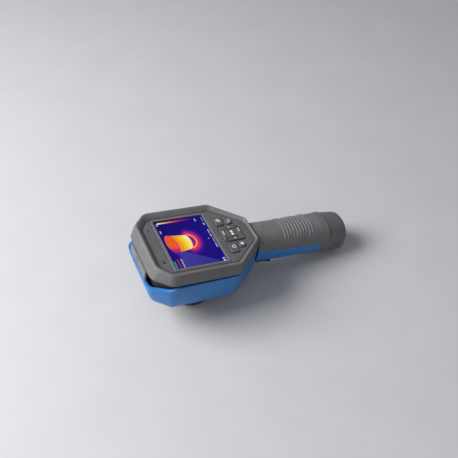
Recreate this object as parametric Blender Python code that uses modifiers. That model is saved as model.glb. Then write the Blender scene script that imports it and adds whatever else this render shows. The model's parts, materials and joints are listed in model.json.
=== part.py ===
"""Handheld thermal imaging camera, lying with its screen up.

Every piece is drawn in the camera's own frame, in millimetres: X runs from the top of the head
to the end of the handle, Y across the screen, and Z out of the screen, with the screen glass at
zero. One empty, "device", carries that frame: it tilts and lifts the whole assembly, so that it
rests on its lens rim and on the end of its battery.
"""

import math

import bmesh
import bpy
from mathutils import Matrix, Vector

MM = 0.001
GAP = 0.35  # clearance between neighbouring pieces
SHEET = 0.35  # sheet metal

# Head: one half of each eight-sided outline, as corners (x, y) from the top end to the handle
PANEL_EDGE = [(-41.4, 26.5), (-31.6, 39.9), (36.8, 40.1), (67.0, 14.0)]
CREST = [(-46.3, 32.0), (-33.6, 46.3), (37.2, 46.2), (68.8, 16.3)]  # top of the raised rim
SHOULDER = [(-47.5, 32.3), (-33.7, 47.5), (37.2, 47.4), (70.0, 17.0)]
WALL_TOP = [(-49.6, 32.6), (-33.8, 48.2), (37.0, 48.1), (71.1, 17.7)]
WALL_FOOT = [(-51.8, 32.8), (-33.8, 48.5), (36.9, 48.4), (71.5, 17.9)]
SHELL_CORE = [(-46.1, 27.2), (-30.6, 40.4), (33.6, 40.4), (63.4, 14.2)]  # grown into the shell
CORNER_SIZES = (12.0, 11.0, 7.0, 7.0)  # radius of each of those corners
PANEL_TOP, PANEL_BASE = 0.8, -1.7
SEAM_TOP, SEAM_BASE = -9.5, -11.8  # the two head shells meet here, round the middle frame
COVER_END, COVER_BASE = -53.6, -20.6  # outer face and lower edge of the connector cover
CORNER_STEPS = 4

# Screen and keys
GLASS_X, GLASS_Y = 26.7, 35.6
BEZEL_X, BEZEL_Y = 30.0, 38.2
KEY_TOP, KEY_BASE = 2.2, -1.0
DPAD_X = 46.3
DPAD_SIZE = (22.4, 21.6)
CENTER_KEY = 11.4
# name: (x, y, size along X, size along Y, corner radius)
KEYS = {
    "key_right_upper": (39.3, 20.8, 8.8, 14.0, 1.6),
    "key_left_upper": (39.3, -20.8, 8.8, 14.0, 1.6),
    "key_right_lower": (50.0, 18.0, 7.2, 7.8, 2.2),
    "key_left_lower": (50.0, -18.0, 7.2, 7.8, 2.2),
}
SENSOR = (-35.2, -24.0)

# Connectors in the top end: name: (y, z, width, height)
PORTS = {
    "usb_port": (11.5, -16.6, 9.0, 3.3),
    "card_slot": (-2.5, -16.6, 12.0, 2.4),
    "hdmi_port": (-15.5, -16.6, 7.6, 3.6),
}
PORT_HALF_DEPTH, PORT_X = 3.6, -44.4

# Lens, on an axis along Z
LENS_X = 6.0
LENS_FRONT = -70.0
RIM_R = 24.5
BARREL_R = 20.5
PLATE_FRONT, PLATE_BACK = -52.5, -49.0
# Round openings beside the lens: name: (x, y, radius)
WINDOWS = {
    "camera_window": (-27.5, 0.0, 4.0),
    "lamp_lens": (-23.0, -18.5, 4.0),
    "laser_window": (-23.0, 18.5, 3.0),
}
SCREWS = [(-20.0, -27.6), (-20.0, 27.6), (39.0, -19.5), (39.0, 19.5)]
SHUTTER_ARM = 13.0  # from the lens axis to the pivot of the shutter blade

# Handle: (x, half width, half height, height of the middle) down its length
HANDLE = [(72.0, 19.3, 19.4, -16.8), (85.0, 19.6, 19.5, -17.3), (100.0, 19.8, 19.5, -17.8),
          (130.0, 20.2, 19.6, -18.0), (150.0, 20.4, 19.8, -18.4)]
COLLAR = [(150.4, 20.5, 19.9, -18.4), (154.0, 21.0, 20.2, -18.6), (157.6, 21.6, 20.5, -18.8),
          (158.6, 21.2, 20.2, -18.8)]
CAP = [(159.2, 20.3, 19.9, -19.0), (168.0, 20.0, 19.8, -19.8), (176.0, 19.8, 19.8, -20.8),
       (179.0, 19.5, 19.6, -21.3), (180.6, 18.9, 19.0, -21.5), (181.4, 17.4, 17.6, -21.5)]
HANDLE_WALL = 2.4
HANDLE_POWER = 2.4  # roundness of the section: 2 is an ellipse
HANDLE_STEPS = 32
SPLIT_X, SPLIT_Z, SPLIT_SLOPE = 72.0, -13.6, -0.064  # where the two halves of the handle meet
PLUG = (85.0, 0.0)
TRIPOD_X = 138.0

# Battery: (half width, half height) of its body, and where that body begins and ends
BATTERY_SIZE = (16.3, 16.1)
BATTERY_ENDS = (98.0, 158.8)
BATTERY_Z = -18.2
BATTERY_POWER = 2.6
LATCH_X, LATCH_Z = 168.5, -20.2

# Trigger: the middle of its pin, and the pin's size
TRIGGER_X, TRIGGER_Z = 80.0, -29.8
PIN_R, PIN_HALF = 1.5, 7.6

# The rest points: the rim's edge on the handle side, and the battery's lower edge
REST_LENS = (LENS_X + RIM_R - 1.0, LENS_FRONT)
REST_CAP = (CAP[3][0], CAP[3][3] - CAP[3][2])
TILT = math.atan2(REST_CAP[1] - REST_LENS[1], REST_CAP[0] - REST_LENS[0])

COLORS = {
    "housing_grey": ((0.105, 0.104, 0.108), 0.55, 0.0),
    "panel_grey": ((0.075, 0.074, 0.077), 0.6, 0.0),
    "shell_blue": ((0.03, 0.14, 0.42), 0.3, 0.0),
    "frame_black": ((0.02, 0.02, 0.021), 0.55, 0.0),
    "key_rubber": ((0.085, 0.085, 0.088), 0.7, 0.0),
    "grip_rubber": ((0.1, 0.099, 0.103), 0.75, 0.0),
    "screen": ((0.01, 0.01, 0.08), 0.15, 0.0),
    "board_green": ((0.02, 0.12, 0.05), 0.5, 0.0),
    "metal": ((0.6, 0.6, 0.62), 0.3, 1.0),
    "brass": ((0.75, 0.55, 0.25), 0.35, 1.0),
    "germanium": ((0.12, 0.11, 0.13), 0.12, 0.9),
    "window": ((0.05, 0.05, 0.06), 0.1, 0.0),
}


# ---------------------------------------------------------------- scene and materials

def clear_scene():
    for old in list(bpy.data.objects):
        bpy.data.objects.remove(old, do_unlink=True)


def collection(name):
    made = bpy.data.collections.new(name)
    bpy.context.scene.collection.children.link(made)
    return made


def material(name):
    found = bpy.data.materials.get(name)
    if found:
        return found
    color, roughness, metallic = COLORS[name]
    made = bpy.data.materials.new(name)
    made.use_nodes = True
    shader = made.node_tree.nodes["Principled BSDF"]
    shader.inputs["Base Color"].default_value = (*color, 1.0)
    shader.inputs["Roughness"].default_value = roughness
    shader.inputs["Metallic"].default_value = metallic
    made.diffuse_color = (*color, 1.0)
    return made


clear_scene()
PARTS = collection("thermal_camera")
CUTTERS = collection("cutters")
DEVICE = bpy.data.objects.new("device", None)
PARTS.objects.link(DEVICE)
DEVICE.rotation_euler = (0.0, TILT, 0.0)


def add(name, data, slot, at=(0.0, 0.0, 0.0), turn=(0.0, 0.0, 0.0)):
    """A piece on the device empty, with its origin at a point given in millimetres."""
    made = bpy.data.objects.new(name, data)
    PARTS.objects.link(made)
    made.parent = DEVICE
    made.location = Vector(at) * MM
    made.rotation_euler = turn
    made.data.materials.append(material(slot))
    return made


def shade(mesh, angle=35.0):
    mesh.shade_smooth()
    mesh.set_sharp_from_angle(angle=math.radians(angle))


# ---------------------------------------------------------------- outlines, all in millimetres

def rounded(corners, radius, steps=CORNER_STEPS):
    """A closed outline with each corner turned into an arc, of one radius or one for each."""
    radii = [radius] * len(corners) if isinstance(radius, (int, float)) else radius
    points = []
    for i, corner in enumerate(corners):
        here = Vector(corner)
        back = Vector(corners[i - 1]) - here
        ahead = Vector(corners[(i + 1) % len(corners)]) - here
        room = 0.49 * min(back.length, ahead.length)
        back.normalize()
        ahead.normalize()
        half = 0.5 * back.angle(ahead)
        run = min(radii[i] / math.tan(half), room)
        arc = run * math.tan(half)
        center = here + (back + ahead).normalized() * (arc / math.sin(half))
        start = here + back * run - center
        sweep = math.pi - 2.0 * half
        if back.cross(ahead) > 0.0:
            sweep = -sweep
        for step in range(steps + 1):
            spoke = Matrix.Rotation(sweep * step / steps, 2) @ start
            points.append(tuple(center + spoke))
    return points


def grown(corners, by):
    """The corners of a counter-clockwise outline, moved outwards by one distance."""
    moved = []
    for i, corner in enumerate(corners):
        here = Vector(corner)
        back = (here - Vector(corners[i - 1])).normalized()
        ahead = (Vector(corners[(i + 1) % len(corners)]) - here).normalized()
        normals = (Vector((back.y, -back.x)), Vector((ahead.y, -ahead.x)))
        middle = (normals[0] + normals[1]).normalized()
        moved.append(tuple(here + middle * (by / middle.dot(normals[0]))))
    return moved


def whole(half):
    """A full outline from one half of it, counter-clockwise."""
    return [(x, -y) for x, y in half] + [(x, y) for x, y in reversed(half)]


def head_outline(half, inset=0.0):
    """An outline of the head from one of its halves, drawn in by an inset."""
    radii = [max(size - inset, 1.0) for size in CORNER_SIZES]
    return rounded(grown(whole(half), -inset), radii + radii[::-1])


def part_way(start, end, part):
    """The half outline between two others."""
    return [(a + (c - a) * part, b + (d - b) * part) for (a, b), (c, d) in zip(start, end)]


def shell_outline(by, squeeze, tip):
    """The front shell's outline, grown from its core.

    squeeze draws in the top end and the sides with depth. tip sets how far the handle end reaches.
    """
    stretch = tip / (SHELL_CORE[3][0] + by)
    end = 1.0 - 0.12 * squeeze
    side = 1.0 - 0.10 * squeeze
    return [(x * (end if x < 0.0 else stretch), y * side)
            for x, y in rounded(grown(whole(SHELL_CORE), by), 4.0 + max(by, 0.0))]


def box_outline(size_x, size_y, radius, center=(0.0, 0.0), steps=CORNER_STEPS):
    x, y = size_x / 2.0, size_y / 2.0
    cx, cy = center
    corners = [(cx - x, cy - y), (cx + x, cy - y), (cx + x, cy + y), (cx - x, cy + y)]
    return rounded(corners, radius, steps)


def circle(radius, center=(0.0, 0.0), steps=20):
    turns = (2.0 * math.pi * step / steps for step in range(steps))
    return [(center[0] + radius * math.cos(turn), center[1] + radius * math.sin(turn))
            for turn in turns]


def handle_ring(x, half_width, half_height, middle, inset=0.0, power=HANDLE_POWER):
    """One section of the handle: a rounded square, as a ring of points at x."""
    ring = []
    for step in range(HANDLE_STEPS):
        turn = 2.0 * math.pi * step / HANDLE_STEPS
        c, s = math.cos(turn), math.sin(turn)
        y = (half_width - inset) * math.copysign(abs(c) ** (2.0 / power), c)
        z = (half_height - inset) * math.copysign(abs(s) ** (2.0 / power), s)
        ring.append((x, y, middle + z))
    return ring


# ---------------------------------------------------------------- solids

def loft(name, rings, slot, at=(0.0, 0.0, 0.0), tube=False):
    """A skin over rings of equal length; a tube joins its last ring to its first."""
    bm = bmesh.new()
    origin = Vector(at)
    rows = [[bm.verts.new((Vector(point) - origin) * MM) for point in ring] for ring in rings]
    count = len(rings[0])
    for i in range(len(rows) if tube else len(rows) - 1):
        here, beyond = rows[i], rows[(i + 1) % len(rows)]
        for j in range(count):
            k = (j + 1) % count
            bm.faces.new((here[j], here[k], beyond[k], beyond[j]))
    if not tube:
        bm.faces.new(rows[0])
        bm.faces.new(rows[-1])
    bmesh.ops.recalc_face_normals(bm, faces=bm.faces)
    mesh = bpy.data.meshes.new(name)
    bm.to_mesh(mesh)
    bm.free()
    shade(mesh)
    return add(name, mesh, slot, at)


def flat(name, outlines, low, high, slot, at=(0.0, 0.0), turn=(0.0, 0.0, 0.0), lift=None):
    """A plate between two heights: the first outline less the others.

    turn and lift stand the plate up: its drawing plane then passes through the point lift.
    """
    curve = bpy.data.curves.new(name, "CURVE")
    curve.dimensions = "2D"
    curve.fill_mode = "BOTH"
    curve.extrude = 0.5 * (high - low) * MM
    for outline in outlines:
        spline = curve.splines.new("POLY")
        spline.points.add(len(outline) - 1)
        for point, (x, y) in zip(spline.points, outline):
            point.co = ((x - at[0]) * MM, (y - at[1]) * MM, 0.0, 1.0)
        spline.use_cyclic_u = True
    place = lift if lift else (at[0], at[1], 0.5 * (low + high))
    return add(name, curve, slot, place, turn)


def solid(curve_object):
    """Turn a curve object into a mesh object with welded caps, so that it can be cut."""
    bpy.context.view_layer.update()
    depsgraph = bpy.context.evaluated_depsgraph_get()
    mesh = bpy.data.meshes.new_from_object(curve_object.evaluated_get(depsgraph))
    bm = bmesh.new()
    bm.from_mesh(mesh)
    bmesh.ops.remove_doubles(bm, verts=bm.verts, dist=1e-6)
    bm.to_mesh(mesh)
    bm.free()
    name = curve_object.name
    place = curve_object.location.copy()
    turn = curve_object.rotation_euler.copy()
    slot = curve_object.data.materials[0].name
    bpy.data.objects.remove(curve_object, do_unlink=True)
    mesh.materials.clear()
    return add(name, mesh, slot, place / MM, turn)


def turned(name, profile, slot, at, closed=True, steps=32):
    """A solid of revolution about Z. The profile is (radius, z), top to bottom on its outer side."""
    mesh = bpy.data.meshes.new(name)
    count = len(profile)
    edges = [(i, i + 1) for i in range(count - 1)]
    if closed:
        edges.append((count - 1, 0))
    mesh.from_pydata([(r * MM, 0.0, z * MM) for r, z in profile], edges, [])
    made = add(name, mesh, slot, at)
    spin = made.modifiers.new("spin", "SCREW")
    spin.steps = spin.render_steps = steps
    spin.use_merge_vertices = True
    spin.merge_threshold = 1e-6
    spin.use_smooth_shade = False
    return made


def block(name, low, high, slot, bevel=0.0, at=None):
    """A box between two corners, its edges rounded by bevel."""
    low, high = Vector(low), Vector(high)
    center = (low + high) / 2.0
    origin = Vector(at) if at else center
    bm = bmesh.new()
    bmesh.ops.create_cube(bm, size=1.0)
    bmesh.ops.scale(bm, vec=(high - low) * MM, verts=bm.verts)
    bmesh.ops.translate(bm, vec=(center - origin) * MM, verts=bm.verts)
    mesh = bpy.data.meshes.new(name)
    bm.to_mesh(mesh)
    bm.free()
    made = add(name, mesh, slot, origin)
    if bevel:
        edge = made.modifiers.new("edges", "BEVEL")
        edge.width = bevel * MM
        edge.segments = 2
    return made


def cutter(made):
    """Take a solid out of the parts and keep it as a hidden cutter."""
    PARTS.objects.unlink(made)
    CUTTERS.objects.link(made)
    made.hide_render = True
    made.display_type = "WIRE"
    return made


def cut(target, tool):
    step = target.modifiers.new("cut_" + tool.name, "BOOLEAN")
    step.operation = "DIFFERENCE"
    step.solver = "EXACT"
    step.object = tool
    return target


def hole(name, radius, center, low, high, steps=20):
    """A round cutter along Z."""
    profile = [(0.0, high), (radius, high), (radius, low), (0.0, low)]
    return cutter(turned(name, profile, "metal", (center[0], center[1], 0.0), closed=False,
                         steps=steps))


def slab(name, low, high):
    """A box cutter."""
    return cutter(block(name, low, high, "metal"))


# ---------------------------------------------------------------- the head

def rear_housing():
    """The grey rear cover: a raised rim round the panel, its wall, and the ledge inside."""
    section = [(head_outline(PANEL_EDGE, 2.6), -2.0), (head_outline(PANEL_EDGE, -0.4), -2.0),
               (head_outline(PANEL_EDGE, -0.4), 0.9)]
    section += [(head_outline(part_way(PANEL_EDGE, CREST, part)), z)
                for part, z in ((0.35, 2.3), (0.7, 3.6), (1.0, 4.0))]
    section += [(head_outline(SHOULDER), 3.3), (head_outline(WALL_TOP), -1.0),
                (head_outline(WALL_FOOT), SEAM_TOP), (head_outline(WALL_FOOT, 2.5), SEAM_TOP),
                (head_outline(WALL_TOP, 2.9), -4.2), (head_outline(PANEL_EDGE, 2.6), -4.2)]
    rings = [[(x, y, z) for x, y in outline] for outline, z in section]
    loft("rear_housing", rings, "housing_grey", tube=True)


def face_panel():
    """The sunken panel, with its openings for the screen, the keys, a sensor and a microphone."""
    openings = [box_outline(2 * (BEZEL_X + GAP), 2 * (BEZEL_Y + GAP), 2.0, steps=2)]
    for x, y, size_x, size_y, radius in KEYS.values():
        openings.append(box_outline(size_x + 0.9, size_y + 0.9, radius, (x, y), steps=3))
    openings.append(box_outline(DPAD_SIZE[0] + 1.2, DPAD_SIZE[1] + 1.2, 3.0, (DPAD_X, 0.0), steps=3))
    openings.append(circle(1.7, SENSOR, steps=10))
    openings.append(box_outline(1.2, 3.6, 0.5, (SENSOR[0], -SENSOR[1]), steps=2))
    flat("face_panel", [head_outline(PANEL_EDGE)] + openings, PANEL_BASE, PANEL_TOP, "panel_grey")


def screen():
    frame = [box_outline(2 * BEZEL_X, 2 * BEZEL_Y, 1.8, steps=2),
             box_outline(2 * GLASS_X + 0.7, 2 * GLASS_Y + 0.7, 0.6, steps=1)]
    flat("display_bezel", frame, PANEL_BASE, 1.1, "housing_grey")
    flat("display_glass", [box_outline(2 * GLASS_X, 2 * GLASS_Y, 0.4, steps=1)], -1.5, 0.0, "screen")
    block("lcd_module", (-28.2, -36.6, -5.2), (29.5, 36.6, -2.1), "frame_black")


def key(name, x, y, size_x, size_y, radius):
    """A key cap with a chamfered top."""
    levels = [(KEY_BASE, 0.0), (KEY_TOP - 0.6, 0.0), (KEY_TOP, 0.6)]
    rings = [[(px, py, z) for px, py in
              box_outline(size_x - 2 * inset, size_y - 2 * inset, max(radius - inset, 0.5), (x, y), 3)]
             for z, inset in levels]
    loft(name, rings, "key_rubber", at=(x, y, 0.0))


def navigation_pad():
    """A rocking ring round a centre key, on a gimbal ring that lets it tilt both ways."""
    size_x, size_y = DPAD_SIZE
    middle = (DPAD_X, 0.0)
    section = [(0.0, -1.2), (0.0, 1.5), (0.7, KEY_TOP)]
    outer = [[(x, y, z) for x, y in
              box_outline(size_x - 2 * inset, size_y - 2 * inset, 2.6, middle, 3)]
             for inset, z in section]
    bore = CENTER_KEY + 1.0
    inner = [[(x, y, z) for x, y in box_outline(bore, bore, 1.0, middle, 3)]
             for z in (KEY_TOP - 0.4, -1.2)]
    loft("dpad_ring", outer + inner, "key_rubber", at=(DPAD_X, 0.0, 0.0), tube=True)
    ring = [(9.9, -1.8), (9.9, -2.4), (8.2, -2.4), (8.2, -1.8)]
    turned("dpad_pivot", ring, "frame_black", (DPAD_X, 0.0, 0.0), steps=24)
    key("center_key", DPAD_X, 0.0, CENTER_KEY, CENTER_KEY, 1.2)


def keypad():
    for name, place in KEYS.items():
        key(name, *place)
    navigation_pad()
    pad = [(33.0, -32.0), (36.0, -32.0), (59.0, -12.0), (59.0, 12.0), (36.0, 32.0), (33.0, 32.0)]
    flat("keypad_mat", [pad], -3.6, -3.0, "key_rubber")
    flat("key_board", [pad], -5.2, -4.0, "board_green")
    sensor = [(0.0, 0.7), (1.0, 0.7), (1.3, 0.4), (1.3, -1.2), (0.0, -1.2)]
    turned("light_sensor", sensor, "window", (*SENSOR, 0.0), closed=False, steps=12)


def middle_frame():
    """The black frame that both shells close on, with the connector openings in its end wall."""
    outer, inner = head_outline(WALL_FOOT, 4.8), head_outline(WALL_FOOT, 7.2)
    made = solid(flat("mid_frame", [outer, inner], -22.0, -8.2, "frame_black"))
    for name, (y, z, width, height) in PORTS.items():
        half_width, half_height = width / 2.0 + GAP, height / 2.0 + GAP
        cut(made, slab("cut_" + name, (-60.0, y - half_width, z - half_height),
                       (-44.0, y + half_width, z + half_height)))


def connectors():
    """Sheet metal connector shells, open towards the top end, and the rubber cover over them."""
    for name, (y, z, width, height) in PORTS.items():
        radius = 0.45 * height
        walls = [box_outline(height, width, radius),
                 box_outline(height - 2 * SHEET, width - 2 * SHEET, radius)]
        flat(name, walls, -PORT_HALF_DEPTH, PORT_HALF_DEPTH, "metal",
             turn=(0.0, math.pi / 2.0, 0.0), lift=(PORT_X, y, z))
    block("interface_cover", (COVER_END, -22.0, COVER_BASE + 0.4),
          (COVER_END + 2.6, 22.0, SEAM_TOP - 0.4), "grip_rubber", bevel=0.5,
          at=(COVER_END + 0.3, 0.0, COVER_BASE + 0.6))


def electronics():
    flat("main_board", [head_outline(WALL_FOOT, 8.0)], -9.4, -7.8, "board_green")
    block("processor_shield", (-24.0, -26.0, -12.6), (8.0, 4.0, -9.8), "metal", bevel=0.4)


def front_shell():
    """The blue front cover: it draws in towards the lens and opens round the front plate."""
    # (growth, z, squeeze, tip) down the outside, then back up the inside
    levels = [(7.9, SEAM_BASE, 0.0, 71.4), (7.8, -22.0, 0.15, 71.4), (7.4, -32.0, 0.42, 71.4),
              (6.4, -40.0, 0.68, 71.2), (4.2, -46.0, 0.86, 69.8), (0.8, -49.8, 0.95, 65.5),
              (-3.0, -51.0, 1.0, 60.0), (-5.0, -51.0, 1.0, 57.0),
              (-5.0, -48.6, 1.0, 57.0), (0.0, -47.0, 0.95, 62.5), (2.6, -44.0, 0.86, 66.8),
              (4.0, -38.8, 0.68, 68.6), (4.9, -31.0, 0.42, 68.9), (5.3, -22.0, 0.15, 69.0),
              (5.4, SEAM_BASE, 0.0, 69.0)]
    rings = []
    for by, z, squeeze, tip in levels:
        rings.append([(x, y, z) for x, y in shell_outline(by, squeeze, tip)])
    made = loft("front_shell", rings, "shell_blue", tube=True)
    notch = [(-62.0, -8.0), (-24.0, -8.0), (-27.0, SEAM_BASE - 0.3), (-43.0, COVER_BASE),
             (-62.0, COVER_BASE)]
    tool = solid(flat("cut_shell_end", [notch], -60.0, 60.0, "metal",
                      turn=(math.pi / 2.0, 0.0, 0.0), lift=(0.0, 0.0, 0.0)))
    cut(made, cutter(tool))


def front_plate():
    """The black plate round the lens, with its windows and its four screws."""
    openings = [circle(BARREL_R + GAP, (LENS_X, 0.0), steps=32)]
    openings += [circle(radius + GAP, (x, y)) for x, y, radius in WINDOWS.values()]
    openings += [circle(1.5, place, steps=12) for place in SCREWS]
    outline = shell_outline(-5.4, 1.0, 56.6)
    made = solid(flat("front_plate", [outline] + openings, PLATE_FRONT, PLATE_BACK, "frame_black"))
    screw = [(0.0, 8.0), (1.1, 8.0), (1.1, 1.5), (2.3, 1.5), (2.3, 0.3), (1.0, 0.3), (1.0, 0.9),
             (0.0, 0.9)]
    for index, (x, y) in enumerate(SCREWS, start=1):
        cut(made, hole(f"cut_screw_{index}", 2.7, (x, y), PLATE_FRONT - 1.0, PLATE_FRONT + 1.9, 16))
        turned(f"plate_screw_{index}", screw, "metal", (x, y, PLATE_FRONT), closed=False, steps=16)


def lens():
    """The lens group: barrel, focus ring, rim, two elements, detector and shutter."""
    at = (LENS_X, 0.0, 0.0)
    barrel = [(BARREL_R, -43.0), (BARREL_R, -64.0), (BARREL_R - 3.0, -64.0), (BARREL_R - 3.0, -43.0)]
    turned("lens_barrel", barrel, "frame_black", at, steps=40)
    rim = [(23.5, -64.4), (RIM_R, -65.2), (RIM_R, LENS_FRONT + 1.0), (RIM_R - 1.0, LENS_FRONT),
           (BARREL_R, LENS_FRONT), (17.0, -66.6), (16.2, -64.4)]
    turned("lens_rim", rim, "frame_black", at, steps=40)
    front = [(0.0, -58.0), (17.1, -58.0), (17.1, -62.4), (13.0, -63.2), (7.0, -63.8), (0.0, -64.0)]
    turned("germanium_lens", front, "germanium", at, closed=False)
    rear = [(0.0, -45.4), (9.0, -44.9), (17.1, -43.6), (17.1, -48.0), (0.0, -48.0)]
    turned("rear_lens", rear, "germanium", at, closed=False)
    fluted_ring("focus_ring", BARREL_R + 0.4, 24.2, -63.9, -54.4)
    block("detector_module", (LENS_X - 15.0, -15.0, -36.5), (LENS_X + 15.0, 15.0, -23.0), "metal",
          bevel=0.8)
    blade = circle(7.5, (LENS_X, 0.0), steps=16)
    end = LENS_X + SHUTTER_ARM + 2.5
    arm = [(end, -3.2), (end, 3.2)]
    flat("shutter_blade", [arm + blade[1:16]], -39.2, -38.4, "metal", at=(LENS_X + SHUTTER_ARM, 0.0))


def fluted_ring(name, inner, outer, low, high, flutes=30):
    """A ring about the lens axis with a fluted grip round its middle."""
    def level(z, radius, depth):
        ring = []
        for step in range(2 * flutes):
            turn = math.pi * step / flutes
            r = radius - (depth if step % 2 else 0.0)
            ring.append((LENS_X + r * math.cos(turn), r * math.sin(turn), z))
        return ring
    rings = [level(high, outer - 0.5, 0.0), level(high - 1.4, outer - 0.5, 0.0),
             level(high - 1.8, outer, 0.6), level(low + 1.8, outer, 0.6),
             level(low + 1.4, outer - 0.5, 0.0), level(low, outer - 0.5, 0.0),
             level(low, inner, 0.0), level(high, inner, 0.0)]
    loft(name, rings, "frame_black", at=(LENS_X, 0.0, 0.0), tube=True)


def windows():
    """Glass discs in the front plate, each with its module behind."""
    for name, (x, y, radius) in WINDOWS.items():
        disc = [(0.0, -50.2), (radius, -50.2), (radius, -51.8), (radius - 0.3, -52.1), (0.0, -52.1)]
        turned(name, disc, "window", (x, y, 0.0), closed=False, steps=20)
    modules = {"visible_camera": ("camera_window", "frame_black", 3.6, -38.0),
               "lamp_module": ("lamp_lens", "metal", 3.4, -43.0),
               "laser_module": ("laser_window", "brass", 2.8, -36.0)}
    for name, (window, slot, radius, back) in modules.items():
        x, y, _ = WINDOWS[window]
        body = [(0.0, back), (radius, back), (radius, -49.6), (0.0, -49.6)]
        turned(name, body, slot, (x, y, 0.0), closed=False, steps=16)


# ---------------------------------------------------------------- the handle

def handle_tube(name, stations, slot, wall=HANDLE_WALL):
    outer = [handle_ring(*station) for station in stations]
    inner = [handle_ring(*station, inset=wall) for station in reversed(stations)]
    return loft(name, outer + inner, slot, tube=True)


def half_space(name, above):
    """A box cutter that fills one side of the handle's parting plane."""
    reach = 60.0
    low = -0.15 if above else -reach
    high = reach if above else 0.15
    made = slab(name, (-20.0, -40.0, low), (120.0, 40.0, high))
    offset = Matrix.Translation(Vector((50.0, 0.0, (low + high) / 2.0)) * MM)
    made.data.transform(offset)
    made.location = Vector((SPLIT_X, 0.0, SPLIT_Z)) * MM
    made.rotation_euler = (0.0, -math.atan(SPLIT_SLOPE), 0.0)
    return made


def handle():
    """The rubber covered back half, the blue front half, and the collar at the end."""
    grip = cut(handle_tube("handle_grip", HANDLE, "grip_rubber"), half_space("cut_below", False))
    cut(grip, hole("cut_plug", 3.1, PLUG, 1.5, 9.0))
    cut(grip, hole("cut_plug_screw", 1.6, PLUG, -5.0, 3.0, 12))
    front = cut(handle_tube("handle_front", HANDLE, "shell_blue"), half_space("cut_above", True))
    cut(front, slab("cut_trigger", (75.6, -4.8, -50.0), (102.8, 4.8, -30.0)))
    cut(front, slab("cut_tripod", (TRIPOD_X - 9.0, -7.0, -50.0), (TRIPOD_X + 9.0, 7.0, -30.0)))
    handle_tube("handle_collar", COLLAR, "housing_grey", wall=2.5)
    plug = [(0.0, -0.9), (2.0, -0.8), (2.7, -1.1), (2.7, -1.5), (0.0, -1.5)]
    turned("screw_plug", plug, "grip_rubber", (*PLUG, 3.0), closed=False, steps=16)
    screw = [(0.0, -4.0), (1.2, -4.0), (1.2, -14.0), (0.0, -14.0)]
    turned("grip_screw", screw, "metal", (*PLUG, 3.0), closed=False, steps=12)
    pad = [box_outline(17.2, 13.2, 1.5, (TRIPOD_X, 0.0), 2), circle(3.1, (TRIPOD_X, 0.0))]
    flat("tripod_plate", pad, -38.6, -35.0, "metal")


def trigger():
    """The trigger on its pin, the bracket that holds the pin, the return spring and the switch."""
    outline = [(76.6, -31.7), (77.6, -40.7), (81.5, -45.2), (87.0, -45.2), (93.0, -45.6),
               (98.2, -47.6), (100.4, -45.8), (100.4, -39.6), (97.0, -37.0), (90.0, -35.8),
               (84.5, -29.7), (80.0, -26.4), (76.8, -27.7)]
    upright = (math.pi / 2.0, 0.0, 0.0)
    pivot = (TRIGGER_X, 0.0, TRIGGER_Z)
    points = [(x - TRIGGER_X, z - TRIGGER_Z) for x, z in rounded(outline, 2.0, 2)]
    flat("trigger", [points, circle(PIN_R + 0.4, steps=12)], -4.2, 4.2, "frame_black", turn=upright,
         lift=pivot)
    flat("trigger_pin", [circle(PIN_R, steps=12)], -PIN_HALF, PIN_HALF, "metal", turn=upright,
         lift=pivot)
    cheeks = [(-7.6, -32.4), (-7.6, -23.7), (7.6, -23.7), (7.6, -32.4), (6.4, -32.4), (6.4, -24.9),
              (-6.4, -24.9), (-6.4, -32.4)]
    bracket = solid(flat("trigger_bracket", [[(-z, y) for y, z in cheeks]], -9.0, 9.0, "metal",
                         turn=(0.0, math.pi / 2.0, 0.0), lift=(86.0, 0.0, 0.0)))
    bore = solid(flat("cut_pin", [circle(PIN_R + 0.3, steps=12)], -12.0, 12.0, "metal", turn=upright,
                      lift=pivot))
    cut(bracket, cutter(bore))
    block("trigger_switch", (90.0, -4.0, -33.8), (97.0, 4.0, -26.8), "frame_black", bevel=0.3)
    spring("trigger_spring", 2.7, 0.2, (4.75, 5.75), 2)


def spring(name, radius, wire, span, turns):
    """A coil about the trigger's pin."""
    curve = bpy.data.curves.new(name, "CURVE")
    curve.dimensions = "3D"
    curve.bevel_depth = wire * MM
    curve.bevel_resolution = 1
    curve.use_fill_caps = True
    steps = 14 * turns
    spline = curve.splines.new("POLY")
    spline.points.add(steps)
    for step, point in enumerate(spline.points):
        turn = 2.0 * math.pi * turns * step / steps
        y = span[0] + (span[1] - span[0]) * step / steps
        point.co = (radius * math.cos(turn) * MM, y * MM, radius * math.sin(turn) * MM, 1.0)
    add(name, curve, "metal", (TRIGGER_X, 0.0, TRIGGER_Z))


# ---------------------------------------------------------------- the battery

def battery():
    """The battery slides out of the handle with its cap, seal, terminals and two latches."""
    body = [handle_ring(x, *BATTERY_SIZE, BATTERY_Z, power=BATTERY_POWER) for x in BATTERY_ENDS]
    loft("battery_body", body, "frame_black")
    cap = loft("battery_cap", [handle_ring(*station) for station in CAP], "housing_grey")
    for side, name in ((1.0, "latch_button_right"), (-1.0, "latch_button_left")):
        near, far = sorted((side * 16.4, side * 26.0))
        cut(cap, slab("cut_" + name, (LATCH_X - 5.4, near, LATCH_Z - 4.2),
                      (LATCH_X + 5.4, far, LATCH_Z + 4.2)))
        low, high = sorted((side * 18.0, side * 19.6))
        block(name, (LATCH_X - 5.0, low, LATCH_Z - 3.8), (LATCH_X + 5.0, high, LATCH_Z + 3.8),
              "frame_black", bevel=0.5)
    seal = [handle_ring(x, *BATTERY_SIZE, BATTERY_Z, inset=-out, power=BATTERY_POWER)
            for x, out in ((154.2, 0.35), (154.2, 0.85), (155.6, 0.85), (155.6, 0.35))]
    loft("battery_seal", seal, "key_rubber", tube=True)
    end = BATTERY_ENDS[0]
    block("battery_terminals", (end - 1.4, -7.0, -21.2), (end - 0.4, 7.0, -15.2), "brass")
    block("contact_block", (end - 9.0, -9.0, -23.2), (end - 1.8, 9.0, -13.2), "frame_black", bevel=0.5)


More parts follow.
